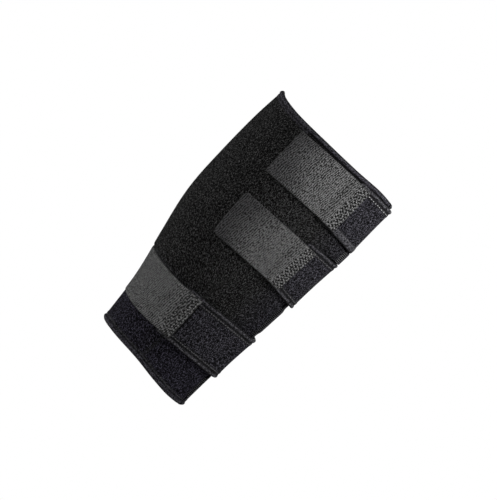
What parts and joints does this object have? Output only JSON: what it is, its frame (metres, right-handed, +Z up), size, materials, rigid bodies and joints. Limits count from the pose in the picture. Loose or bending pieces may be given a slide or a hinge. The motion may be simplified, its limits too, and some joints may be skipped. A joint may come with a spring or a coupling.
{
  "type": "calf support bandage",
  "caption": "Wrap-around soft calf support with straps across the shin that end in hook tabs on the outside, shown closed as worn.",
  "frame": {"origin": "middle of the leg hollow, halfway up the wrap", "axes": "+Z up the leg to the knee, +X to the shin, -Y to the side where the straps end"},
  "size_m": [0.1323, 0.1223, 0.2338],
  "materials": {
    "cloth": "black brushed loop cloth on foam, matt",
    "strap": "black brushed strap cloth, matt",
    "hem": "black folded and stitched edge, matt",
    "tab": "dark grey ribbed hook tape, matt"
  },
  "bodies": {
    "root": {"calf_panel": "cloth", "shin_flap": "cloth", "top_hem": "hem", "bottom_hem": "hem", "front_hem": "hem", "upper_strap": "strap", "upper_strap_top_hem": "hem", "upper_strap_low_hem": "hem", "upper_tab": "tab", "middle_strap": "strap", "middle_strap_top_hem": "hem", "middle_strap_low_hem": "hem", "middle_tab": "tab", "lower_strap": "strap", "lower_strap_top_hem": "hem", "lower_strap_low_hem": "hem", "lower_tab": "tab"}
  },
  "joints": []
}
